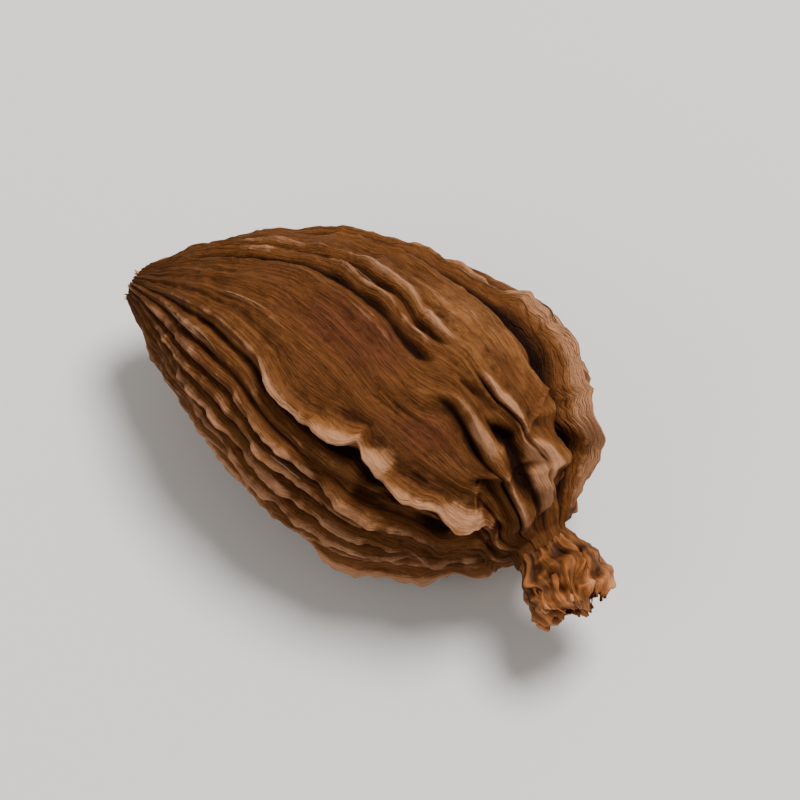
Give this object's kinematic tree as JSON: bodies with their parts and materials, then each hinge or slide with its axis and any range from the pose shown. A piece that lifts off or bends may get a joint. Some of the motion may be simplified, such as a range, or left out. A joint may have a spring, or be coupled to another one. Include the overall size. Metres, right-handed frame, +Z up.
{
  "type": "black cardamom pod",
  "caption": "Dried black cardamom pod lying on its side: a ribbed, wrinkled, egg-shaped husk with the torn dry remains of the flower at its tip.",
  "frame": {"origin": "on the surface that the pod lies on, under the middle of its bounding box", "axes": "+Z up, +X from the stalk's scar to the flower's remains, +Y to the far side of the picture's view"},
  "size_m": [0.0276, 0.015, 0.0134],
  "materials": {
    "husk": "dry, fibrous and wrinkled, paler on the worn crests of the ribs and near black in the grooves",
    "calyx": "dry, papery and torn, more orange than the husk"
  },
  "bodies": {
    "root": {"husk": "husk", "calyx": "calyx"}
  },
  "joints": []
}
